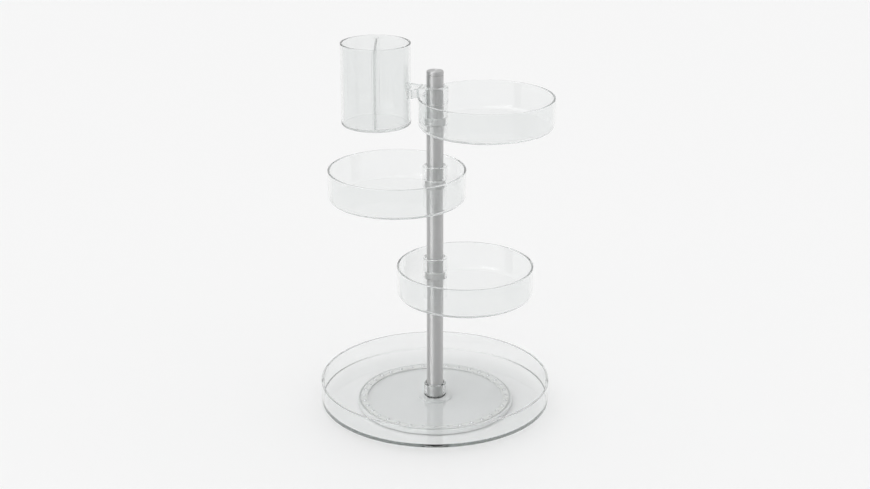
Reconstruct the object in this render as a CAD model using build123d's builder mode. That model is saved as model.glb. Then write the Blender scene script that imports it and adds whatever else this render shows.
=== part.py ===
from build123d import *
import os

# Turning makeup organizer. A clear dish spins on a ball-bearing foot and carries a steel pole.
# Three clear trays and a brush cup swivel about the pole. The pole's axis is Z, and the rubber
# pads under the foot rest on the plane z = 0. The view from the front looks along +Y.

# Fits
turning_fit = 0.06
fixed_fit = 0.03
bond_gap = 0.03
loose_gap = 0.3

# Rubber pads under the foot
pad_count = 6
pad_radius = 7.0
pad_height = 2.2
pad_recess = 0.8
pad_ring_radius = 66.0

# Foot plate with its lip and its raised hub
foot_thickness = 2.8
foot_lip_wall = 1.8
foot_lip_height = 2.3
foot_lip_gap = 1.7
foot_hub_thickness = 2.4
foot_hub_wall = 2.5
foot_play = 0.25

# Ring of balls between the foot and the dish
bearing_radius = 79.0
ball_count = 36
ball_radius = 2.2
ball_play = 0.05
groove_relief = 0.15
groove_depth = 0.7
cage_width = 7.0
cage_thickness = 1.8
pocket_clearance = 0.2

# Bolt and washer that hold the foot, the dish and the pole together
hexagon_sides = 6
bolt_radius = 3.0
bolt_clearance = 0.2
bolt_reach = 14.0
bolt_head_radius = 6.0
bolt_head_height = 2.2
bolt_ground_gap = 0.7
bolt_socket_radius = 2.3
bolt_socket_depth = 1.3
washer_radius = 15.0
washer_thickness = 1.2
washer_room = 0.6

# Dish with the socket for the pole above its floor and a spigot below
dish_radius = 126.0
dish_wall = 2.2
dish_floor = 2.8
dish_height = 23.4
dish_corner_radius = 0.5
dish_inner_corner_radius = 1.0
dish_rim_radius = 0.3
boss_wall = 3.0
boss_height = 13.4
boss_edge_radius = 0.8
spigot_radius = 10.0

# Steel pole
pole_radius = 9.0
pole_wall = 1.2
pole_length = 365.2
pole_joint_chamfer = 0.5
plug_length = 18.0
cap_height = 4.2
cap_edge_radius = 1.2
cap_stem_length = 10.0

# Trays, from the lowest to the highest: how far the underside lies below the pole's upper end,
# and the direction of the tray's centre from the pole in degrees
tray_names = ("lower", "middle", "top")
tray_drops = (227.8, 123.8, 55.3)
tray_directions = (-54.0, -137.0, -5.0)
tray_radius = 72.0
tray_offset = 54.0
tray_height = 32.8
tray_wall = 2.4
tray_floor = 2.6
tray_corner_radius = 6.0
tray_inner_corner_radius = 2.2
tray_rim_radius = 0.9
hub_wall = 1.8
hub_height = 25.0
hub_edge_radius = 0.6

# Stop collars inside the tray hubs, their grub screws and the glide washers
collar_wall = 2.0
collar_height = 9.0
collar_lift = 0.5
collar_screw_radius = 1.45
collar_screw_sink = 0.1
collar_screw_socket_radius = 0.8
collar_screw_socket_depth = 0.9
glide_thickness = 0.8

# Brush cup, its divider and the bracket that carries it
cup_radius = 36.7
cup_wall = 2.2
cup_floor = 2.6
cup_height = 87.4
cup_corner_radius = 3.2
cup_inner_corner_radius = 2.0
cup_rim_radius = 0.8
cup_offset = 61.6
cup_rise = 56.4
divider_thickness = 2.0
divider_drop = 3.0
divider_fit = 0.25
guide_thickness = 1.4
guide_depth = 2.5
bracket_ring_wall = 4.9
bracket_edge_radius = 0.8
arm_clearance = 0.5
arm_height = 9.2
arm_width = 20.0
arm_saddle_width = 34.0
arm_side_radius = 26.0

# Heights worked out from the stack, starting at the table
foot_underside = pad_height - pad_recess
foot_top = foot_underside + foot_thickness
washer_underside = bolt_ground_gap + bolt_head_height
spigot_end = washer_underside + washer_thickness
foot_hub_underside = spigot_end + foot_play
ball_height = foot_top - groove_depth + ball_play + ball_radius
dish_underside = ball_height + ball_radius + ball_play
dish_floor_top = dish_underside + dish_floor
pole_top = dish_floor_top + pole_length

# Radii worked out from the pieces that fit together
groove_radius = ball_radius + groove_relief
foot_radius = bearing_radius + cage_width / 2 + foot_lip_gap + foot_lip_wall
foot_bore = spigot_radius + turning_fit
washer_recess_radius = washer_radius + washer_room
pole_bore = pole_radius - pole_wall
socket_radius = pole_radius + fixed_fit
hub_bore = pole_radius + turning_fit
collar_radius = pole_radius + fixed_fit + collar_wall
collar_room = collar_radius + loose_gap
hub_radius = collar_room + hub_wall
hub_shoulder = collar_lift + collar_height + glide_thickness

os.makedirs("parts", exist_ok=True)


def finish(builder, name):
    """Label a finished piece and write it as its own file."""
    builder.part.label = name
    export_step(builder.part, f"parts/{name}.step")


def pan_profile(base, radius, wall, floor, height, corner, inner_corner, rim):
    """Half section of a round pan that stands on the base plane's origin: a flat floor, an
    upright wall, a rounded rim and a bottom corner with its own radius outside and inside."""
    section = Plane(base.origin, x_dir=base.x_dir, z_dir=-base.y_dir)
    with BuildSketch(section) as profile:
        with BuildLine():
            Polyline(
                (0, 0),
                (radius, 0),
                (radius, height),
                (radius - wall, height),
                (radius - wall, floor),
                (0, floor),
                close=True,
            )
        make_face()
        fillet(profile.vertices().group_by(Axis.Y)[-1], rim)
        fillet(profile.vertices().sort_by_distance((radius, 0))[0], corner)
        fillet(profile.vertices().sort_by_distance((radius - wall, floor))[0], inner_corner)
    return profile.sketch


# Rubber pads, pressed into shallow recesses in the foot plate
with BuildPart() as foot_pads:
    with BuildSketch():
        with PolarLocations(pad_ring_radius, pad_count):
            Circle(pad_radius)
    extrude(amount=pad_height)
finish(foot_pads, "foot_pads")

# Foot plate: a disc with a lip round its edge, a groove for the balls and a raised hub that
# the dish's spigot turns in, with room below for the washer
with BuildPart() as foot_plate:
    with BuildSketch(Plane.XY.offset(foot_underside)):
        Circle(foot_radius)
    extrude(amount=foot_thickness)
    with BuildSketch(Plane.XY.offset(foot_top)):
        Circle(foot_radius)
        Circle(foot_radius - foot_lip_wall, mode=Mode.SUBTRACT)
    extrude(amount=foot_lip_height)
    with BuildSketch(Plane.XY.offset(foot_underside)):
        Circle(washer_recess_radius + foot_hub_wall)
    extrude(amount=foot_hub_underside + foot_hub_thickness - foot_underside)
    with BuildSketch(Plane.XY.offset(foot_hub_underside)):
        Circle(washer_recess_radius)
    extrude(amount=foot_underside - foot_hub_underside, mode=Mode.SUBTRACT)
    with BuildSketch(Plane.XY.offset(foot_hub_underside)):
        Circle(foot_bore)
    extrude(amount=foot_hub_thickness, mode=Mode.SUBTRACT)
    with BuildSketch(Plane.XZ):
        with Locations((bearing_radius, foot_top - groove_depth + groove_radius)):
            Circle(groove_radius)
    revolve(axis=Axis.Z, mode=Mode.SUBTRACT)
    with BuildSketch(Plane.XY.offset(foot_underside)):
        with PolarLocations(pad_ring_radius, pad_count):
            Circle(pad_radius + fixed_fit)
    extrude(amount=pad_recess, mode=Mode.SUBTRACT)
finish(foot_plate, "foot_plate")

# Balls, evenly spaced round the bearing
with BuildPart() as bearing_balls:
    with Locations(Plane.XY.offset(ball_height)):
        with PolarLocations(bearing_radius, ball_count):
            Sphere(ball_radius)
finish(bearing_balls, "bearing_balls")

# Cage: a flat ring with a pocket for each ball
with BuildPart() as ball_cage:
    with BuildSketch(Plane.XY.offset(ball_height - cage_thickness / 2)):
        Circle(bearing_radius + cage_width / 2)
        Circle(bearing_radius - cage_width / 2, mode=Mode.SUBTRACT)
        with PolarLocations(bearing_radius, ball_count):
            Circle(ball_radius + pocket_clearance, mode=Mode.SUBTRACT)
    extrude(amount=cage_thickness)
finish(ball_cage, "ball_cage")

# Dish: a shallow round pan with a socket for the pole and a spigot that turns in the foot. Its
# flat underside runs on the balls
with BuildPart() as base_dish:
    dish_base = Plane.XY.offset(dish_underside)
    dish_section = pan_profile(
        dish_base,
        dish_radius,
        dish_wall,
        dish_floor,
        dish_height,
        dish_corner_radius,
        dish_inner_corner_radius,
        dish_rim_radius,
    )
    revolve(dish_section, axis=Axis.Z)
    with BuildSketch(Plane.XY.offset(dish_floor_top)):
        Circle(socket_radius + boss_wall)
    extrude(amount=boss_height)
    fillet(base_dish.faces(Select.LAST).sort_by(Axis.Z)[-1].edges(), boss_edge_radius)
    with BuildSketch(dish_base):
        Circle(spigot_radius)
    extrude(amount=spigot_end - dish_underside)
    with BuildSketch(Plane.XY.offset(dish_floor_top)):
        Circle(socket_radius)
    extrude(amount=boss_height, mode=Mode.SUBTRACT)
    with BuildSketch(Plane.XY.offset(spigot_end)):
        Circle(bolt_radius + bolt_clearance)
    extrude(amount=dish_floor_top - spigot_end, mode=Mode.SUBTRACT)
finish(base_dish, "base_dish")

# Pole: a steel tube that stands on the dish's floor inside the socket
with BuildPart() as pole_tube:
    with BuildSketch(Plane.XY.offset(dish_floor_top)):
        Circle(pole_radius)
        Circle(pole_bore, mode=Mode.SUBTRACT)
    extrude(amount=pole_length)
    chamfer(pole_tube.edges().group_by(Axis.Z)[-1].sort_by(SortBy.RADIUS)[-1], pole_joint_chamfer)
finish(pole_tube, "pole_tube")

# Plug: a turned steel piece pressed into the tube's lower end, with the hole for the bolt
with BuildPart() as pole_plug:
    with BuildSketch(Plane.XY.offset(dish_floor_top)):
        Circle(pole_bore - fixed_fit)
        Circle(bolt_radius + fixed_fit, mode=Mode.SUBTRACT)
    extrude(amount=plug_length)
finish(pole_plug, "pole_plug")

# Bolt: driven from below through the washer and the dish into the plug
with BuildPart() as pole_bolt:
    with BuildSketch(Plane.XY.offset(bolt_ground_gap)):
        Circle(bolt_head_radius)
    extrude(amount=bolt_head_height)
    with BuildSketch(Plane.XY.offset(washer_underside)):
        Circle(bolt_radius)
    extrude(amount=dish_floor_top + bolt_reach - washer_underside)
    with BuildSketch(Plane.XY.offset(bolt_ground_gap)):
        RegularPolygon(bolt_socket_radius, hexagon_sides)
    extrude(amount=bolt_socket_depth, mode=Mode.SUBTRACT)
finish(pole_bolt, "pole_bolt")

# Washer: bears on the spigot's end and keeps the foot from dropping off
with BuildPart() as bolt_washer:
    with BuildSketch(Plane.XY.offset(washer_underside)):
        Circle(washer_radius)
        Circle(bolt_radius + bolt_clearance, mode=Mode.SUBTRACT)
    extrude(amount=washer_thickness)
finish(bolt_washer, "bolt_washer")

# Cap: closes the tube flush with its outside, with a stem pressed into the bore
with BuildPart() as pole_cap:
    with BuildSketch(Plane.XY.offset(pole_top)):
        Circle(pole_radius)
    extrude(amount=cap_height)
    fillet(pole_cap.edges().group_by(Axis.Z)[-1], cap_edge_radius)
    chamfer(pole_cap.edges().group_by(Axis.Z)[0], pole_joint_chamfer)
    with BuildSketch(Plane.XY.offset(pole_top)):
        Circle(pole_bore - fixed_fit)
    extrude(amount=-cap_stem_length)
finish(pole_cap, "pole_cap")

for tray_name, drop, direction in zip(tray_names, tray_drops, tray_directions):
    underside = pole_top - drop
    pole_plane = Plane.XY.offset(underside).rotated((0, 0, direction))
    centre_plane = pole_plane.shift_origin(pole_plane.from_local_coords(Vector(tray_offset, 0, 0)))

    # Tray: a round pan with a hub off its centre, close to the wall. The hub turns on the pole
    # above and hides the stop collar below
    with BuildPart() as tray:
        tray_section = pan_profile(
            centre_plane,
            tray_radius,
            tray_wall,
            tray_floor,
            tray_height,
            tray_corner_radius,
            tray_inner_corner_radius,
            tray_rim_radius,
        )
        revolve(tray_section, axis=Axis(centre_plane.origin, centre_plane.z_dir))
        with BuildSketch(pole_plane):
            Circle(hub_radius)
        extrude(amount=hub_height)
        fillet(tray.faces(Select.LAST).sort_by(Axis.Z)[-1].edges(), hub_edge_radius)
        with BuildSketch(pole_plane):
            Circle(hub_bore)
        extrude(amount=hub_height, mode=Mode.SUBTRACT)
        with BuildSketch(pole_plane):
            Circle(collar_room)
        extrude(amount=hub_shoulder, mode=Mode.SUBTRACT)
    finish(tray, f"{tray_name}_tray")

    # Stop collar: a steel ring clamped to the pole by a grub screw at the back
    collar_middle = underside + collar_lift + collar_height / 2
    with BuildPart() as stop_collar:
        with BuildSketch(Plane.XY.offset(underside + collar_lift)):
            Circle(collar_radius)
            Circle(pole_radius + fixed_fit, mode=Mode.SUBTRACT)
        extrude(amount=collar_height)
        with BuildSketch(Plane((0, 0, collar_middle), x_dir=(1, 0, 0), z_dir=(0, 1, 0))):
            Circle(collar_screw_radius + fixed_fit)
        extrude(amount=collar_radius, mode=Mode.SUBTRACT)
    finish(stop_collar, f"{tray_name}_stop_collar")

    # Glide washer: lies on the collar, and the hub's shoulder turns on it
    with BuildPart() as glide_washer:
        with BuildSketch(Plane.XY.offset(underside + collar_lift + collar_height)):
            Circle(collar_radius)
            Circle(hub_bore, mode=Mode.SUBTRACT)
        extrude(amount=glide_thickness)
    finish(glide_washer, f"{tray_name}_glide_washer")

# Grub screws: one in each collar, its point on the pole and its hexagon socket outwards
with BuildPart() as collar_screws:
    for drop in tray_drops:
        collar_middle = pole_top - drop + collar_lift + collar_height / 2
        screw_point = pole_radius + fixed_fit
        screw_length = collar_wall - collar_screw_sink
        point_plane = Plane((0, screw_point, collar_middle), x_dir=(1, 0, 0), z_dir=(0, 1, 0))
        with BuildSketch(point_plane):
            Circle(collar_screw_radius)
        extrude(amount=screw_length)
        with BuildSketch(point_plane.offset(screw_length)):
            RegularPolygon(collar_screw_socket_radius, hexagon_sides)
        extrude(amount=-collar_screw_socket_depth, mode=Mode.SUBTRACT)
finish(collar_screws, "collar_screws")

# Heights round the cup, worked out from the top tray
top_tray_underside = pole_top - tray_drops[-1]
top_tray_rim = top_tray_underside + tray_height
cup_rim = top_tray_rim + cup_rise
cup_underside = cup_rim - cup_height
cup_bore = cup_radius - cup_wall
divider_height = cup_height - cup_floor - divider_drop
cup_base = Plane((-cup_offset, 0, cup_underside))
cup_inside = cup_base.offset(cup_floor)

# Cup: a tall round pan with two pairs of upright guides that hold the divider
with BuildPart() as brush_cup:
    cup_section = pan_profile(
        cup_base,
        cup_radius,
        cup_wall,
        cup_floor,
        cup_height,
        cup_corner_radius,
        cup_inner_corner_radius,
        cup_rim_radius,
    )
    revolve(cup_section, axis=Axis(cup_base.origin, cup_base.z_dir))
    guide_spacing = divider_thickness + divider_fit * 2 + guide_thickness
    guide_length = guide_depth + cup_wall / 2
    with BuildSketch(cup_inside):
        with GridLocations(guide_spacing, cup_bore * 2 - guide_depth * 2 + guide_length, 2, 2):
            Rectangle(guide_thickness, guide_length)
    extrude(amount=divider_height)
finish(brush_cup, "brush_cup")

# Divider: a flat plate dropped between the guides, its lower corners cut to clear the cup's
# rounded bottom
with BuildPart() as cup_divider:
    with BuildSketch(cup_inside):
        Rectangle(divider_thickness, (cup_bore - divider_fit) * 2)
    extrude(amount=divider_height)
    lower_corners = cup_divider.edges().filter_by(Axis.X).group_by(Axis.Z)[0]
    chamfer(lower_corners, cup_inner_corner_radius)
finish(cup_divider, "cup_divider")

# Bracket: a ring that turns on the pole and stands on the top tray's hub, and an arm over the
# tray's rim that widens to a saddle bonded to the cup's wall
with BuildPart() as cup_bracket:
    ring_radius = hub_bore + bracket_ring_wall
    ring_underside = top_tray_underside + hub_height
    arm_underside = top_tray_rim + arm_clearance
    with BuildSketch(Plane.XY.offset(arm_underside)):
        with BuildLine():
            upper_side = RadiusArc(
                (-cup_offset + cup_radius, arm_saddle_width / 2), (0, arm_width / 2), -arm_side_radius
            )
            lower_side = mirror(upper_side, about=Plane.XZ)
            Line(upper_side @ 1, lower_side @ 1)
            Polyline(
                upper_side @ 0,
                (-cup_offset, arm_saddle_width / 2),
                (-cup_offset, -arm_saddle_width / 2),
                lower_side @ 0,
            )
        make_face()
        Circle(ring_radius)
        with Locations((-cup_offset, 0)):
            Circle(cup_radius + bond_gap, mode=Mode.SUBTRACT)
    extrude(amount=arm_height)
    fillet(cup_bracket.faces().sort_by(Axis.Z)[-1].edges(), bracket_edge_radius)
    with BuildSketch(Plane.XY.offset(ring_underside)):
        Circle(ring_radius)
    extrude(amount=arm_underside - ring_underside)
    with BuildSketch(Plane.XY.offset(ring_underside)):
        Circle(hub_bore)
    extrude(amount=arm_underside + arm_height - ring_underside, mode=Mode.SUBTRACT)
finish(cup_bracket, "cup_bracket")
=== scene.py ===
import math

import bpy
import numpy as np
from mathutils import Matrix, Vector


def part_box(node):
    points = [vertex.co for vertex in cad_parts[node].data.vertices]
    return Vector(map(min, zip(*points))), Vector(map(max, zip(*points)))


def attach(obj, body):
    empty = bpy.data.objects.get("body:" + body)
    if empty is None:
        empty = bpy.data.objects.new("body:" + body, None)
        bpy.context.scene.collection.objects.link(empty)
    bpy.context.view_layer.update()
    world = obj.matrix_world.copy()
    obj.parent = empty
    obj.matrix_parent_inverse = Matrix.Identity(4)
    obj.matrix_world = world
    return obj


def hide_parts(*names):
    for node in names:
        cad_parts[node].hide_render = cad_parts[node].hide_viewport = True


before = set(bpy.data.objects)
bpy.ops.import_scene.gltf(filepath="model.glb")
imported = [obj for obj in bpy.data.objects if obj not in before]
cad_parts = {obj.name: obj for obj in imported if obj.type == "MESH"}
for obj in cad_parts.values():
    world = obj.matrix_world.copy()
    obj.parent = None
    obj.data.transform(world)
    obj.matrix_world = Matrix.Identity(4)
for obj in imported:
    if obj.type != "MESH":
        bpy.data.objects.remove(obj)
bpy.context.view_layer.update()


# Foot pads: six discs of soft milky rubber, moulded with a rounded lower edge and pressed into
# shallow recesses under the foot plate so that the organizer doesn't slide.
def rounded_outline(corners, ends_meet=True, arc_steps=6, margin=0.00012):
    """Outline in a plane. Each corner is two coordinates and a radius, and becomes an arc of that
    radius that touches both sides. One more point, a margin away from each end of the arc, keeps
    the shading of the straight side flat. Where the ends don't meet, the first and the last corner
    stay as they are."""
    corner, radius = np.split(np.array(corners, float), [2], axis=1)
    to_last = np.roll(corner, 1, axis=0) - corner
    to_next = np.roll(corner, -1, axis=0) - corner
    to_last /= np.linalg.norm(to_last, axis=1, keepdims=True)
    to_next /= np.linalg.norm(to_next, axis=1, keepdims=True)
    half_angle = np.arccos(np.clip((to_last * to_next).sum(1, keepdims=True), -1, 1)) / 2
    reach = radius / np.tan(half_angle)
    bisector = to_last + to_next
    bisector /= np.linalg.norm(bisector, axis=1, keepdims=True)
    middle = corner + bisector * radius / np.sin(half_angle)
    first = (corner + to_last * reach - middle)[:, None]
    last = (corner + to_next * reach - middle)[:, None]
    turn = (math.pi - 2 * half_angle)[:, None]
    share = np.linspace(0, 1, arc_steps + 1)[None, :, None]
    arc = (np.sin((1 - share) * turn) * first + np.sin(share * turn) * last) / np.sin(turn)
    before = (corner + to_last * (reach + margin))[:, None]
    after = (corner + to_next * (reach + margin))[:, None]
    points = np.concatenate([before, middle[:, None] + arc, after], axis=1)
    if ends_meet:
        return points.reshape(-1, 2)
    return np.concatenate([corner[:1], points[1:-1].reshape(-1, 2), corner[-1:]])


def even_turns(count):
    """Angles that divide a full turn into equal steps."""
    return np.arange(count) * 2 * math.pi / count


def circle_points(angles):
    """Points on a circle of radius 1: the cosine and the sine of each angle."""
    return np.stack([np.cos(angles), np.sin(angles)], axis=-1)


def lifted(points, height):
    """Points of a plane with a height as their third coordinate, one for all or one for each row."""
    height = np.broadcast_to(height, points.shape[:-1])
    return np.concatenate([points, height[..., None]], axis=-1)


def turned(outline, around):
    """Surface of revolution about the Z axis: each point of the outline, a radius and a height, is
    carried once round the axis."""
    ring = circle_points(even_turns(around))
    return lifted(outline[:, :1, None] * ring, outline[:, 1:])


def solid_piece(name, grid, material, ends_meet=True, places=((0, 0, 0),)):
    """Mesh from a grid of points. Neighbours make quads, every row closes on itself, and the last
    row joins the first where the ends meet. Points that coincide become one, the faces are turned
    so that the volume inside is positive, and the result is repeated at each place."""
    decimals = 8
    sharp_angle = math.radians(35)
    number = np.arange(grid.shape[0] * grid.shape[1]).reshape(grid.shape[:2])
    beside = np.roll(number, -1, axis=1)
    quads = np.stack([number, beside, np.roll(beside, -1, 0), np.roll(number, -1, 0)], axis=-1)
    if not ends_meet:
        quads = quads[:-1]
    points = np.round(grid.reshape(-1, 3), decimals)
    points, merged = np.unique(points, axis=0, return_inverse=True)
    quads = merged.reshape(-1)[quads.reshape(-1, 4)]
    joined = quads == np.roll(quads, -1, axis=1)
    whole = quads[~joined.any(axis=1)]
    once = joined.sum(axis=1) == 1
    cut = [np.delete(quads[once & joined[:, k]], k, axis=1) for k in range(4)]
    triangles = np.concatenate(cut)
    halves = np.concatenate([whole[:, :3], whole[:, [0, 2, 3]], triangles])
    a, b, c = points[halves].transpose(1, 0, 2)
    if (a * np.cross(b, c)).sum() < 0:
        whole = whole[:, ::-1]
        triangles = triangles[:, ::-1]
    copies = np.arange(len(places))[:, None, None] * len(points)
    points = (points + np.array(places, float)[:, None]).reshape(-1, 3)
    faces = (whole + copies).reshape(-1, 4).tolist() + (triangles + copies).reshape(-1, 3).tolist()
    mesh = bpy.data.meshes.new(name)
    mesh.from_pydata(points.tolist(), [], faces)
    mesh.polygons.foreach_set("use_smooth", np.ones(len(mesh.polygons), bool))
    mesh.set_sharp_from_angle(angle=sharp_angle)
    mesh.materials.append(material)
    piece = bpy.data.objects.new(name, mesh)
    bpy.context.scene.collection.objects.link(piece)
    return piece


def new_finish(name):
    """Material with one Principled shader. Returns the material, its node tree and the shader."""
    material = bpy.data.materials.new(name)
    material.use_nodes = True
    return material, material.node_tree, material.node_tree.nodes["Principled BSDF"]


def add_node(tree, kind, inputs=(), **settings):
    """New node with its settings and its inputs, each a constant or another node's output."""
    node = tree.nodes.new(kind)
    for key, value in settings.items():
        setattr(node, key, value)
    for key, value in dict(inputs).items():
        if isinstance(value, bpy.types.NodeSocket):
            tree.links.new(value, node.inputs[key])
        else:
            node.inputs[key].default_value = value
    return node


def new_group(name, inputs, outputs):
    """Shader node group with float sockets. Returns the group and its input and output nodes."""
    group = bpy.data.node_groups.new(name, "ShaderNodeTree")
    for socket in inputs:
        group.interface.new_socket(socket, in_out="INPUT", socket_type="NodeSocketFloat")
    for socket in outputs:
        group.interface.new_socket(socket, in_out="OUTPUT", socket_type="NodeSocketFloat")
    return group, group.nodes.new("NodeGroupInput"), group.nodes.new("NodeGroupOutput")


# Fine even grain of a moulded surface, as a height
moulded_grain, grain_in, grain_out = new_group("moulded_grain", ["Scale"], ["Height"])
grain_place = add_node(moulded_grain, "ShaderNodeTexCoord")
grain_noise = add_node(
    moulded_grain,
    "ShaderNodeTexNoise",
    {"Vector": grain_place.outputs["Object"], "Scale": grain_in.outputs["Scale"], "Detail": 3.0},
)
moulded_grain.links.new(grain_noise.outputs[0], grain_out.inputs["Height"])

# Soft patches left by handling, as a mask: broad clouds broken up by finer ones
handling_marks, marks_in, marks_out = new_group("handling_marks", ["Scale"], ["Marks"])
marks_finer_by = 9.0
marks_place = add_node(handling_marks, "ShaderNodeTexCoord")
marks_broad = add_node(
    handling_marks,
    "ShaderNodeTexNoise",
    {"Vector": marks_place.outputs["Object"], "Scale": marks_in.outputs["Scale"], "Detail": 4.0},
)
marks_finer_scale = add_node(
    handling_marks,
    "ShaderNodeMath",
    {0: marks_in.outputs["Scale"], 1: marks_finer_by},
    operation="MULTIPLY",
)
marks_finer = add_node(
    handling_marks,
    "ShaderNodeTexNoise",
    {"Vector": marks_place.outputs["Object"], "Scale": marks_finer_scale.outputs[0], "Detail": 3.0},
)
marks_sharper = add_node(
    handling_marks,
    "ShaderNodeMapRange",
    {"Value": marks_broad.outputs[0], "From Min": 0.45, "From Max": 0.75},
    interpolation_type="SMOOTHSTEP",
)
marks_product = add_node(
    handling_marks,
    "ShaderNodeMath",
    {0: marks_sharper.outputs[0], 1: marks_finer.outputs[0]},
    operation="MULTIPLY",
)
handling_marks.links.new(marks_product.outputs[0], marks_out.inputs["Marks"])


def group_output(tree, group, **values):
    """Output of a node group that is placed in a material with its own values."""
    return add_node(tree, "ShaderNodeGroup", values, node_tree=group).outputs[0]


def link_surface(tree, shader, colours, marks, roughness, dullness, bump, height):
    """What changes over a surface: the marks blend the two colours, the dullness blends the two
    ends of the roughness, and the height becomes a bump with a strength and a distance."""
    tone = add_node(
        tree,
        "ShaderNodeMix",
        {"Factor": marks, "A": (*colours[0], 1), "B": (*colours[1], 1)},
        data_type="RGBA",
    )
    gloss = add_node(
        tree,
        "ShaderNodeMapRange",
        {"Value": dullness, "To Min": roughness[0], "To Max": roughness[1]},
    )
    relief = add_node(
        tree, "ShaderNodeBump", {"Height": height, "Strength": bump[0], "Distance": bump[1]}
    )
    tree.links.new(tone.outputs["Result"], shader.inputs["Base Color"])
    tree.links.new(gloss.outputs[0], shader.inputs["Roughness"])
    tree.links.new(relief.outputs[0], shader.inputs["Normal"])


def moulded_finish(name, colour, worn_colour, roughness, grain_scale, bump_distance):
    """Moulded surface: grain in the bump, and handling marks that shift its colour and gloss.
    Returns the material and its shader."""
    grain_per_mark = 30
    bump_strength = 0.4
    material, tree, shader = new_finish(name)
    grain = group_output(tree, moulded_grain, Scale=grain_scale)
    marks = group_output(tree, handling_marks, Scale=grain_scale / grain_per_mark)
    link_surface(
        tree,
        shader,
        colours=(colour, worn_colour),
        marks=marks,
        roughness=roughness,
        dullness=marks,
        bump=(bump_strength, bump_distance),
        height=grain,
    )
    return material, shader


pads_low, pads_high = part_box("foot_pads")
pad_count = 6
pad_radius = 0.007
pad_lower_edge = 0.0006
pad_upper_edge = 0.0002
pad_ring_radius = pads_high.x - pad_radius
pad_places = lifted(pad_ring_radius * circle_points(even_turns(pad_count)), 0)
pad_outline = rounded_outline(
    [
        (0, pads_low.z, 0),
        (pad_radius, pads_low.z, pad_lower_edge),
        (pad_radius, pads_high.z, pad_upper_edge),
        (0, pads_high.z, 0),
    ],
    ends_meet=False,
)
pad_rubber, _ = moulded_finish(
    "milky_rubber",
    colour=(0.62, 0.63, 0.63),
    worn_colour=(0.5, 0.5, 0.49),
    roughness=(0.55, 0.75),
    grain_scale=900,
    bump_distance=0.0001,
)
foot_pads = solid_piece(
    "foot_pads_moulded", turned(pad_outline, around=48), pad_rubber, False, pad_places
)
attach(foot_pads, "foot")
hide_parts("foot_pads")


# Foot plate: a frosted disc, injection moulded, with a lip round its edge, a groove for the balls
# and a raised hub that the dish's spigot turns in.
plate_low, plate_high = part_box("foot_plate")
plate_thickness = 0.0028
plate_radius = plate_high.x
plate_top = plate_low.z + plate_thickness
plate_lower_edge = 0.0006
plate_fillet = 0.0004
lip_height = 0.0023
lip_wall = 0.0018
lip_edge = 0.0005
lip_top = plate_top + lip_height
lip_inside = plate_radius - lip_wall
hub_bore = 0.01006
hub_recess = 0.0156
hub_outside = 0.0181
hub_thickness = 0.0024
hub_underside = plate_high.z - hub_thickness
bearing_radius = 0.079
groove_half_width = 0.0017
groove_depth = 0.0012
groove_rounding = 0.0018
fine_edge = 0.0002
small_edge = 0.0003
plate_outline = rounded_outline(
    [
        (hub_bore, hub_underside, fine_edge),
        (hub_recess, hub_underside, small_edge),
        (hub_recess, plate_low.z, small_edge),
        (plate_radius, plate_low.z, plate_lower_edge),
        (plate_radius, lip_top, lip_edge),
        (lip_inside, lip_top, lip_edge),
        (lip_inside, plate_top, plate_fillet),
        (bearing_radius + groove_half_width, plate_top, fine_edge),
        (bearing_radius, plate_top - groove_depth, groove_rounding),
        (bearing_radius - groove_half_width, plate_top, fine_edge),
        (hub_outside, plate_top, plate_fillet),
        (hub_outside, plate_high.z, plate_fillet),
        (hub_bore, plate_high.z, fine_edge),
    ]
)
plastic_ior = 1.49
foot_plastic, foot_shader = moulded_finish(
    "frosted_plastic",
    colour=(0.93, 0.94, 0.94),
    worn_colour=(0.88, 0.89, 0.89),
    roughness=(0.38, 0.5),
    grain_scale=700,
    bump_distance=0.0001,
)
foot_shader.inputs["Transmission Weight"].default_value = 0.25
foot_shader.inputs["IOR"].default_value = plastic_ior
foot_plate = solid_piece("foot_plate_moulded", turned(plate_outline, around=224), foot_plastic)
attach(foot_plate, "foot")
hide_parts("foot_plate")


# Bearing: a ring of polished steel balls rolls in the foot's groove and carries the dish. A flat
# nylon cage, stamped with a pocket for each ball, keeps them apart.

# Fine lines round the upright axis, as a height: noise that is squeezed along Z
turning_lines, lines_in, lines_out = new_group("turning_lines", ["Lines"], ["Height"])
lines_place = add_node(turning_lines, "ShaderNodeTexCoord")
lines_axes = add_node(
    turning_lines, "ShaderNodeSeparateXYZ", {"Vector": lines_place.outputs["Object"]}
)
lines_along = add_node(
    turning_lines,
    "ShaderNodeMath",
    {0: lines_axes.outputs["Z"], 1: lines_in.outputs["Lines"]},
    operation="MULTIPLY",
)
lines_vector = add_node(
    turning_lines,
    "ShaderNodeCombineXYZ",
    {"X": lines_axes.outputs["X"], "Y": lines_axes.outputs["Y"], "Z": lines_along.outputs[0]},
)
lines_noise = add_node(
    turning_lines,
    "ShaderNodeTexNoise",
    {"Vector": lines_vector.outputs[0], "Scale": 40.0, "Detail": 5.0, "Roughness": 0.7},
)
turning_lines.links.new(lines_noise.outputs[0], lines_out.inputs["Height"])


def steel_finish(name, colour, dull_colour, roughness, lines, bump_distance):
    """Steel: fine lines round the Z axis in the bump and the gloss, and handling marks in the tone.
    Returns the material and its shader."""
    mark_scale = 22.0
    bump_strength = 0.25
    material, tree, shader = new_finish(name)
    turning = group_output(tree, turning_lines, Lines=lines)
    marks = group_output(tree, handling_marks, Scale=mark_scale)
    link_surface(
        tree,
        shader,
        colours=(colour, dull_colour),
        marks=marks,
        roughness=roughness,
        dullness=turning,
        bump=(bump_strength, bump_distance),
        height=turning,
    )
    shader.inputs["Metallic"].default_value = 1.0
    return material, shader


def give_finish(material, *nodes):
    """Put a material on CAD nodes that keep their own meshes."""
    for node in nodes:
        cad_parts[node].material_slots[0].material = material


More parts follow.
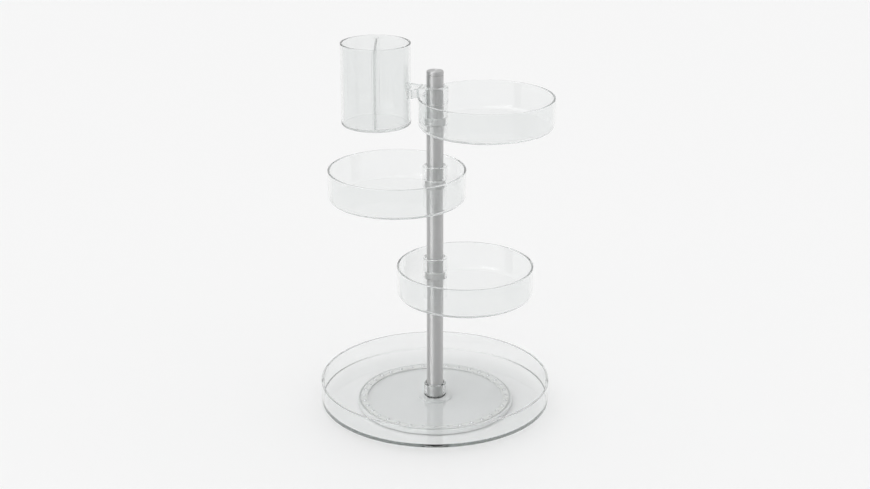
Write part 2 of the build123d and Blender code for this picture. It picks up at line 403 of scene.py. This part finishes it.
balls_low, balls_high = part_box("bearing_balls")
ball_count = 36
ball_radius = (balls_high.z - balls_low.z) / 2
ball_height = balls_low.z + ball_radius
ball_rows = 13
ball_tilts = np.linspace(-math.pi / 2, math.pi / 2, ball_rows)
ball_outline = ball_radius * circle_points(ball_tilts)
ball_outline[[0, -1], 0] = 0
ball_places = lifted(bearing_radius * circle_points(even_turns(ball_count)), ball_height)
ball_steel, _ = steel_finish(
    "polished_ball_steel",
    colour=(0.72, 0.73, 0.74),
    dull_colour=(0.6, 0.6, 0.6),
    roughness=(0.08, 0.16),
    lines=20,
    bump_distance=0.00001,
)
bearing_balls = solid_piece(
    "bearing_balls_ground", turned(ball_outline, around=24), ball_steel, False, ball_places
)
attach(bearing_balls, "ball_ring")
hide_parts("bearing_balls")
cage_nylon, _ = moulded_finish(
    "stamped_cage_nylon",
    colour=(0.78, 0.79, 0.78),
    worn_colour=(0.68, 0.68, 0.66),
    roughness=(0.4, 0.55),
    grain_scale=1200,
    bump_distance=0.00005,
)
give_finish(cage_nylon, "ball_cage")


# Dish: the wide clear pan that carries everything, injection moulded in one piece with the socket
# for the pole and the spigot under its floor. Its flat underside runs on the balls.
def clear_finish(name, colour, worn_colour, density):
    """Clear moulded plastic: the bulk absorbs a little light with a cool grey tint, so that edges
    seen along the wall look darker. Faint handling marks dull the polish, and a very shallow
    waviness from the mould bends reflections. Shadow rays pass straight through."""
    mark_scale = 26.0
    roughness = (0.004, 0.05)
    waviness_scale = 30.0
    bump_strength = 0.05
    bump_distance = 0.001
    bulk_tint = (0.785, 0.798, 0.795)
    shadow_tint = (0.986, 0.988, 0.988)
    material, tree, shader = new_finish(name)
    waviness = group_output(tree, moulded_grain, Scale=waviness_scale)
    marks = group_output(tree, handling_marks, Scale=mark_scale)
    link_surface(
        tree,
        shader,
        colours=(colour, worn_colour),
        marks=marks,
        roughness=roughness,
        dullness=marks,
        bump=(bump_strength, bump_distance),
        height=waviness,
    )
    shader.inputs["Transmission Weight"].default_value = 1.0
    shader.inputs["IOR"].default_value = plastic_ior
    bulk = add_node(
        tree, "ShaderNodeVolumeAbsorption", {"Color": (*bulk_tint, 1), "Density": density}
    )
    light_path = add_node(tree, "ShaderNodeLightPath")
    straight = add_node(tree, "ShaderNodeBsdfTransparent", {"Color": (*shadow_tint, 1)})
    passing = add_node(
        tree,
        "ShaderNodeMixShader",
        {0: light_path.outputs["Is Shadow Ray"], 1: shader.outputs[0], 2: straight.outputs[0]},
    )
    output = tree.nodes["Material Output"]
    tree.links.new(passing.outputs[0], output.inputs["Surface"])
    tree.links.new(bulk.outputs[0], output.inputs["Volume"])
    return material


dish_plastic = clear_finish(
    "clear_dish_plastic",
    colour=(0.973, 0.979, 0.978),
    worn_colour=(0.953, 0.96, 0.96),
    density=24.0,
)
dish_low, dish_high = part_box("base_dish")
dish_radius = (dish_high.x - dish_low.x) / 2
dish_wall = 0.0022
dish_floor = 0.0028
dish_lower_edge = 0.0005
dish_rim = 0.0003
dish_inner_corner = 0.001
dish_inside = dish_radius - dish_wall
dish_underside = 0.008
dish_floor_top = dish_underside + dish_floor
boss_radius = 0.01203
boss_height = 0.0134
boss_fillet = 0.0005
boss_edge = 0.0008
boss_top = dish_floor_top + boss_height
socket_radius = 0.00903
spigot_radius = 0.01
spigot_fillet = 0.0004
bolt_hole = 0.0032
dish_outline = rounded_outline(
    [
        (bolt_hole, dish_low.z, fine_edge),
        (spigot_radius, dish_low.z, small_edge),
        (spigot_radius, dish_underside, spigot_fillet),
        (dish_radius, dish_underside, dish_lower_edge),
        (dish_radius, dish_high.z, dish_rim),
        (dish_inside, dish_high.z, dish_rim),
        (dish_inside, dish_floor_top, dish_inner_corner),
        (boss_radius, dish_floor_top, boss_fillet),
        (boss_radius, boss_top, boss_edge),
        (socket_radius, boss_top, small_edge),
        (socket_radius, dish_floor_top, fine_edge),
        (bolt_hole, dish_floor_top, fine_edge),
    ]
)
base_dish = solid_piece("base_dish_moulded", turned(dish_outline, around=320), dish_plastic)
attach(base_dish, "carousel")
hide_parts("base_dish")


# Pole: a drawn steel tube, brushed round its axis. A turned plug pressed into its foot takes the
# bolt that comes up through a washer and the dish, and a turned cap closes its upper end.
tube_low, tube_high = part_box("pole_tube")
tube_radius = (tube_high.x - tube_low.x) / 2
tube_wall = 0.0012
tube_bore = tube_radius - tube_wall
tube_bevel = 0.0005
steel_edge = 0.0001
steel_margin = 0.00005
tube_outline = rounded_outline(
    [
        (tube_radius, tube_low.z, steel_edge),
        (tube_radius, tube_high.z - tube_bevel, steel_edge),
        (tube_radius - tube_bevel, tube_high.z, steel_edge),
        (tube_bore, tube_high.z, steel_edge),
        (tube_bore, tube_low.z, steel_edge),
    ],
    margin=steel_margin,
)
brushed_steel, brushed_shader = steel_finish(
    "brushed_pole_steel",
    colour=(0.65, 0.65, 0.65),
    dull_colour=(0.59, 0.59, 0.585),
    roughness=(0.42, 0.5),
    lines=60,
    bump_distance=0.00002,
)
brushed_shader.inputs["Anisotropic"].default_value = 1.0
brushed_shader.inputs["Anisotropic Rotation"].default_value = 0.25
pole_tube = solid_piece("pole_tube_brushed", turned(tube_outline, around=128), brushed_steel)
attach(pole_tube, "carousel")
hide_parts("pole_tube")

cap_low, cap_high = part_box("pole_cap")
cap_edge = 0.0012
fixed_fit = 0.00003
stem_radius = tube_bore - fixed_fit
cap_outline = rounded_outline(
    [
        (0, cap_low.z, 0),
        (stem_radius, cap_low.z, small_edge),
        (stem_radius, tube_high.z, steel_edge),
        (tube_radius - tube_bevel, tube_high.z, steel_edge),
        (tube_radius, tube_high.z + tube_bevel, steel_edge),
        (tube_radius, cap_high.z, cap_edge),
        (0, cap_high.z, 0),
    ],
    ends_meet=False,
    margin=steel_margin,
)
pole_cap = solid_piece("pole_cap_turned", turned(cap_outline, around=128), brushed_steel, False)
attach(pole_cap, "carousel")
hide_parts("pole_cap")

turned_steel, _ = steel_finish(
    "plain_turned_steel",
    colour=(0.55, 0.55, 0.55),
    dull_colour=(0.45, 0.45, 0.44),
    roughness=(0.25, 0.4),
    lines=120,
    bump_distance=0.00003,
)
give_finish(turned_steel, "pole_plug", "pole_bolt", "bolt_washer")


# Stop collars: steel rings clamped to the pole, each by a small blackened grub screw at the back.
# A thin nylon glide washer lies on each collar, and a tray's hub turns on it.
screw_steel, _ = steel_finish(
    "blackened_screw_steel",
    colour=(0.06, 0.06, 0.065),
    dull_colour=(0.12, 0.12, 0.12),
    roughness=(0.35, 0.5),
    lines=200,
    bump_distance=0.00002,
)
give_finish(screw_steel, "collar_screws")
glide_nylon, _ = moulded_finish(
    "white_glide_nylon",
    colour=(0.82, 0.83, 0.82),
    worn_colour=(0.72, 0.72, 0.7),
    roughness=(0.35, 0.5),
    grain_scale=1500,
    bump_distance=0.00004,
)
levels = ("lower", "middle", "top")
for level in levels:
    give_finish(turned_steel, f"{level}_stop_collar")
    give_finish(glide_nylon, f"{level}_glide_washer")


# Trays: three clear pans of one shape, each injection moulded with a hub off its centre. The hub
# turns on the pole above and hides the stop collar below.
tray_plastic = clear_finish(
    "clear_tray_plastic",
    colour=(0.953, 0.961, 0.959),
    worn_colour=(0.925, 0.935, 0.933),
    density=9.0,
)
tray_wall = 0.0024
tray_floor = 0.0026
tray_corner = 0.006
tray_inner_corner = 0.0022
tray_rim = 0.0009
tray_hub_height = 0.025
tray_hub_bore = 0.00906
tray_hub_radius = 0.01313
tray_hub_edge = 0.0006
tray_hub_fillet = 0.00006
collar_room = 0.01133
collar_room_height = 0.0103
floor_stub = 0.001
around_tray = 288
# Where a clear face touches another piece, the two stand this far apart, because faces that
# coincide render as dark lines
contact_gap = 0.00004
for level in levels:
    tray_low, tray_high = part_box(f"{level}_tray")
    tray_centre = np.array([(tray_low.x + tray_high.x) / 2, (tray_low.y + tray_high.y) / 2])
    tray_radius = (tray_high.x - tray_low.x) / 2
    tray_inside = tray_radius - tray_wall
    floor_top = tray_low.z + tray_floor
    hub_top = tray_low.z + tray_hub_height
    hub_step = tray_low.z + collar_room_height + contact_gap
    # The ends of both outlines only give the floor's direction, and are left off
    pan_outline = rounded_outline(
        [
            (tray_radius - 2 * tray_corner, tray_low.z, 0),
            (tray_radius, tray_low.z, tray_corner),
            (tray_radius, tray_high.z, tray_rim),
            (tray_inside, tray_high.z, tray_rim),
            (tray_inside, floor_top, tray_inner_corner),
            (tray_inside - tray_corner, floor_top, 0),
        ],
        ends_meet=False,
        arc_steps=8,
        margin=0.0001,
    )[1:-1]
    hub_outline = rounded_outline(
        [
            (tray_hub_radius + floor_stub, floor_top, 0),
            (tray_hub_radius, floor_top, tray_hub_fillet),
            (tray_hub_radius, hub_top, tray_hub_edge),
            (tray_hub_bore, hub_top, fine_edge),
            (tray_hub_bore, hub_step, fine_edge),
            (collar_room, hub_step, fine_edge),
            (collar_room, tray_low.z, small_edge),
            (collar_room + floor_stub, tray_low.z, 0),
        ],
        ends_meet=False,
        margin=0.00006,
    )[1:-1]
    pan_grid = turned(pan_outline, around_tray) + lifted(tray_centre, 0)
    tray_grid = np.concatenate([pan_grid, turned(hub_outline, around_tray)])
    tray = solid_piece(f"{level}_tray_moulded", tray_grid, tray_plastic)
    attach(tray, f"{level}_level")
    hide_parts(f"{level}_tray")


# Brush cup: a tall clear pan, injection moulded, with two pairs of slim upright guides inside.
# A clear plate drops between the guides and divides it.
cup_plastic = clear_finish(
    "clear_cup_plastic",
    colour=(0.928, 0.937, 0.935),
    worn_colour=(0.9, 0.91, 0.908),
    density=12.0,
)
cup_low, cup_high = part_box("brush_cup")
cup_centre = np.array([(cup_low.x + cup_high.x) / 2, (cup_low.y + cup_high.y) / 2])
cup_radius = (cup_high.x - cup_low.x) / 2
cup_wall = 0.0022
cup_floor = 0.0026
cup_corner = 0.0032
cup_inner_corner = 0.002
cup_rim = 0.0008
cup_inside = cup_radius - cup_wall
cup_floor_top = cup_low.z + cup_floor
divider_low, divider_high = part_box("cup_divider")
divider_low.z += contact_gap
cup_outline = rounded_outline(
    [
        (0, cup_low.z, 0),
        (cup_radius, cup_low.z, cup_corner),
        (cup_radius, cup_high.z, cup_rim),
        (cup_inside, cup_high.z, cup_rim),
        (cup_inside, cup_floor_top, cup_inner_corner),
        (0, cup_floor_top, 0),
    ],
    ends_meet=False,
    arc_steps=8,
)

# The guides reach as high as the plate. Each side of a guide has two points at the same turn, one
# on the wall and one on the guide's face, and below the guide's top the face stands off the wall.
guide_depth = 0.0025
guide_near = math.radians(2.15)
guide_far = math.radians(4.56)
open_steps = 120
past_rim = np.arange(len(cup_outline)) > cup_outline[:, 1].argmax()
split = np.argmax(past_rim & (cup_outline[:, 1] < divider_high.z))
guide_top = np.array([[cup_inside, divider_high.z]])
plain_rows = np.concatenate([cup_outline[:split], guide_top])
guide_rows = np.concatenate([guide_top, cup_outline[split:]])
cup_rows = np.concatenate([plain_rows, guide_rows])
left_guide = np.array([-guide_far, -guide_far, -guide_near, -guide_near])
open_turns = np.linspace(guide_far, math.pi - guide_far, open_steps + 2)[1:-1]
half_turn = np.concatenate([left_guide, -left_guide[::-1], open_turns])
half_on_guide = np.concatenate([[0, 1, 1, 0, 0, 1, 1, 0], np.zeros(open_steps)]) > 0
cup_turns = np.concatenate([half_turn, half_turn + math.pi])
on_guide = np.concatenate([half_on_guide, half_on_guide])
beside_guide = np.arange(len(cup_rows))[:, None] >= len(plain_rows)
guide_reach = np.where(beside_guide & on_guide, cup_inside - guide_depth, cup_radius)
cup_radii = np.minimum(cup_rows[:, :1], guide_reach)
from_back = circle_points(cup_turns)[:, ::-1]
cup_grid = lifted(cup_centre + cup_radii[..., None] * from_back, cup_rows[:, 1:])
brush_cup = solid_piece("brush_cup_moulded", cup_grid, cup_plastic, False)
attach(brush_cup, "brush_holder")
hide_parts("brush_cup")


def inset(outline, distance):
    """Closed outline moved inwards: each point goes along the bisector of its two sides so far
    that both sides shift by the distance. The outline runs anticlockwise."""
    side = np.roll(outline, -1, axis=0) - outline
    side /= np.linalg.norm(side, axis=1, keepdims=True)
    outwards = np.stack([side[:, 1], -side[:, 0]], axis=-1)
    before = np.roll(outwards, 1, axis=0)
    spread = 1 + (before * outwards).sum(1, keepdims=True)
    return outline - distance * (before + outwards) / spread


def quarter_round(radius, steps):
    """Quarter circle along an edge: how far each of its points lies inside the one face, from 0 to
    the radius, and inside the other, from the radius to 0."""
    turn = np.linspace(0, math.pi / 2, steps)
    return radius * (1 - np.cos(turn)), radius * (1 - np.sin(turn))


divider_half = (divider_high - divider_low) / 2
divider_centre = (divider_high + divider_low) / 2
divider_cut = 0.002
divider_cut_edge = 0.0004
divider_upper_corner = 0.0006
divider_edge = 0.00025
plate_shape = rounded_outline(
    [
        (divider_cut - divider_half.y, -divider_half.z, divider_cut_edge),
        (divider_half.y - divider_cut, -divider_half.z, divider_cut_edge),
        (divider_half.y, divider_cut - divider_half.z, divider_cut_edge),
        (divider_half.y, divider_half.z, divider_upper_corner),
        (-divider_half.y, divider_half.z, divider_upper_corner),
        (-divider_half.y, divider_cut - divider_half.z, divider_cut_edge),
    ]
)
edge_below_face, edge_inset = quarter_round(divider_edge, steps=5)
edge_across = divider_half.x - edge_below_face
plate_insets = np.concatenate([edge_inset, edge_inset[::-1]])
plate_rings = [inset(plate_shape, distance) for distance in plate_insets]
plate_rings = np.stack([0 * plate_shape, *plate_rings, 0 * plate_shape])
plate_across = np.concatenate(
    [[-divider_half.x], -edge_across, edge_across[::-1], [divider_half.x]]
)
# The plate is drawn in Y and Z, and its thickness lies along X
divider_grid = np.roll(lifted(plate_rings, plate_across[:, None]), 1, axis=-1)
divider_grid = divider_grid + np.array(divider_centre)
cup_divider = solid_piece("cup_divider_plate", divider_grid, cup_plastic, False)
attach(cup_divider, "brush_holder")
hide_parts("cup_divider")


# Cup bracket: a clear moulded ring that turns on the pole and stands on the top tray's hub. Its
# arm passes over the tray's rim and widens to a saddle that is bonded to the cup's wall.
bracket_low, bracket_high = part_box("cup_bracket")
ring_radius = bracket_high.x
ring_middle = 0.0115
ring_underside = bracket_low.z + contact_gap
arm_thickness = 0.0092
arm_half = 0.01
arm_side_radius = 0.026
arm_underside = bracket_high.z - arm_thickness
saddle_half = bracket_high.y
saddle_radius = cup_radius + fixed_fit
bracket_edge = 0.0008
ring_steps = 121
side_steps = 24
saddle_steps = 25

# Seen from above, each side of the arm is an arc that swings from the ring to the saddle's shoulder
shoulder = np.array([cup_centre[0] + cup_radius, saddle_half])
arm_root = np.array([0, arm_half])
chord = arm_root - shoulder
chord_length = np.linalg.norm(chord)
chord_up = np.array([-chord[1], chord[0]]) / chord_length
side_rise = math.sqrt(arm_side_radius**2 - chord_length**2 / 4)
side_centre = (shoulder + arm_root) / 2 + chord_up * side_rise
reach = np.linalg.norm(side_centre)
along = (ring_radius**2 - arm_side_radius**2 + reach**2) / (2 * reach)
across = math.sqrt(ring_radius**2 - along**2)
towards = side_centre / reach
junction = along * towards + across * np.array([-towards[1], towards[0]])
junction_turn = math.atan2(junction[1], junction[0])
ring_turns = np.linspace(-junction_turn, junction_turn, ring_steps)
ring_arc = ring_radius * circle_points(ring_turns)
from_side = np.stack([junction, shoulder]) - side_centre
side_ends = np.unwrap(np.arctan2(from_side[:, 1], from_side[:, 0]))
side_turns = np.linspace(*side_ends, side_steps)[1:]
side_arc = side_centre + arm_side_radius * circle_points(side_turns)
saddle_turn = math.asin(saddle_half / saddle_radius)
saddle_turns = np.linspace(saddle_turn, -saddle_turn, saddle_steps)
saddle_arc = cup_centre + saddle_radius * circle_points(saddle_turns)
other_side = side_arc[::-1] * (1, -1)
arm_outline = np.concatenate([ring_arc, side_arc, saddle_arc, other_side])

# Each point of that outline is matched with a turn of the ring, and the rows run from the ring's
# top through its bore and underside to the arm's underside, edge and top
side_match_end = math.radians(168)
saddle_match_half = math.radians(10)
side_matches = np.linspace(junction_turn, side_match_end, side_steps)[1:]
saddle_matches = math.pi + np.linspace(-saddle_match_half, saddle_match_half, saddle_steps)
other_matches = 2 * math.pi - side_matches[::-1]
matches = np.concatenate([ring_turns, side_matches, saddle_matches, other_matches])
ring_section = rounded_outline(
    [
        (ring_middle, bracket_high.z, 0),
        (tray_hub_bore, bracket_high.z, fine_edge),
        (tray_hub_bore, ring_underside, fine_edge),
        (ring_radius, ring_underside, small_edge),
        (ring_radius, arm_underside, 0),
    ],
    ends_meet=False,
)
ring_rows = ring_section[:, :1, None] * circle_points(matches)
edge_inset, edge_below_top = quarter_round(bracket_edge, steps=7)
arm_rows = [inset(arm_outline, distance) for distance in (0, *edge_inset)]
bracket_rows = np.concatenate([ring_rows, arm_rows])
arm_heights = np.concatenate([[arm_underside], bracket_high.z - edge_below_top])
bracket_heights = np.concatenate([ring_section[:, 1], arm_heights])
bracket_grid = lifted(bracket_rows, bracket_heights[:, None])
cup_bracket = solid_piece("cup_bracket_moulded", bracket_grid, tray_plastic)
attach(cup_bracket, "brush_holder")
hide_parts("cup_bracket")


# Stage: a plain pale floor under soft studio light, bright behind and above, with two low strips
# that give the pole its bright columns. The camera looks from the front and a little above.
pale_floor, _, floor_shader = new_finish("pale_floor")
floor_shader.inputs["Base Color"].default_value = (0.9, 0.9, 0.9, 1)
floor_shader.inputs["Roughness"].default_value = 0.7
floor_shader.inputs["Specular IOR Level"].default_value = 0.2
floor_half = 12.0
floor_height = -0.0002
floor_corners = floor_half * np.array([(-1, -1), (1, -1), (1, 1), (-1, 1)])
floor_mesh = bpy.data.meshes.new("pale_floor")
floor_mesh.from_pydata(lifted(floor_corners, floor_height).tolist(), [], [(0, 1, 2, 3)])
floor_mesh.materials.append(pale_floor)
floor = bpy.data.objects.new("pale_floor", floor_mesh)
bpy.context.scene.collection.objects.link(floor)

sun_tilt = math.radians(20)
sun_lean = math.radians(-28)
sun_data = bpy.data.lights.new("key_light", "SUN")
sun_data.energy = 0.6
sun_data.angle = math.radians(60)
sun = bpy.data.objects.new("key_light", sun_data)
sun.rotation_euler = (sun_tilt, sun_lean, 0)
bpy.context.scene.collection.objects.link(sun)

backdrop_level = 0.87
front_level = 0.1
plain_level = 0.93
studio = bpy.data.worlds.new("studio")
studio.use_nodes = True
studio_tree = studio.node_tree
direction = add_node(studio_tree, "ShaderNodeTexCoord").outputs["Generated"]
axes = add_node(studio_tree, "ShaderNodeSeparateXYZ", {"Vector": direction})


def soft_edge(value, start, end):
    """Mask that rises smoothly from 0 at one value to 1 at another."""
    return add_node(
        studio_tree,
        "ShaderNodeMapRange",
        {"Value": value, "From Min": start, "From Max": end},
        interpolation_type="SMOOTHSTEP",
    ).outputs[0]


def combine(first, second, operation):
    """Two values added, multiplied or compared, as the operation says."""
    return add_node(
        studio_tree, "ShaderNodeMath", {0: first, 1: second}, operation=operation
    ).outputs[0]


def low_strip(turn_degrees, level):
    """Strip of light on the horizon, whose middle is turned to the right of the camera's side. It
    fades out sideways between two angles from its middle, and upwards between two heights."""
    outer_angle = math.radians(26)
    inner_angle = math.radians(10)
    dark_height = 0.2
    bright_height = 0.08
    turn = math.radians(turn_degrees)
    middle = (math.sin(turn), -math.cos(turn), 0)
    facing = add_node(
        studio_tree, "ShaderNodeVectorMath", {0: direction, 1: middle}, operation="DOT_PRODUCT"
    )
    sideways = soft_edge(facing.outputs["Value"], math.cos(outer_angle), math.cos(inner_angle))
    upwards = soft_edge(axes.outputs["Z"], dark_height, bright_height)
    return combine(combine(sideways, upwards, "MULTIPLY"), level, "MULTIPLY")


behind = soft_edge(axes.outputs["Y"], start=0.0, end=0.5)
overhead = soft_edge(axes.outputs["Z"], start=0.0, end=0.2)
wrap = combine(behind, overhead, "MAXIMUM")
studio_light = combine(combine(wrap, backdrop_level - front_level, "MULTIPLY"), front_level, "ADD")
studio_light = combine(studio_light, low_strip(turn_degrees=-48, level=5.5), "ADD")
studio_light = combine(studio_light, low_strip(turn_degrees=95, level=0.6), "ADD")
background = studio_tree.nodes["Background"]
background.inputs["Color"].default_value = (1, 1, 1, 1)
studio_tree.links.new(studio_light, background.inputs["Strength"])
plain_background = add_node(
    studio_tree, "ShaderNodeBackground", {"Color": (1, 1, 1, 1), "Strength": plain_level}
)
studio_rays = add_node(studio_tree, "ShaderNodeLightPath")
studio_mix = add_node(
    studio_tree,
    "ShaderNodeMixShader",
    {
        0: studio_rays.outputs["Is Camera Ray"],
        1: background.outputs[0],
        2: plain_background.outputs[0],
    },
)
studio_tree.links.new(studio_mix.outputs[0], studio_tree.nodes["World Output"].inputs["Surface"])
bpy.context.scene.world = studio

camera_distance = 1.592
camera_height = 0.7735
camera_downwards = math.radians(20.2)
camera_data = bpy.data.cameras.new("camera")
camera_data.lens = 65.0
camera = bpy.data.objects.new("camera", camera_data)
camera.location = (0, -camera_distance, camera_height)
camera.rotation_euler = (math.pi / 2 - camera_downwards, 0, 0)
bpy.context.scene.collection.objects.link(camera)
bpy.context.scene.camera = camera
bpy.context.scene.view_settings.view_transform = "Standard"
light_bounces = 64
bpy.context.scene.cycles.max_bounces = light_bounces
bpy.context.scene.cycles.glossy_bounces = light_bounces
bpy.context.scene.cycles.transmission_bounces = light_bounces
bpy.context.scene.cycles.transparent_max_bounces = light_bounces
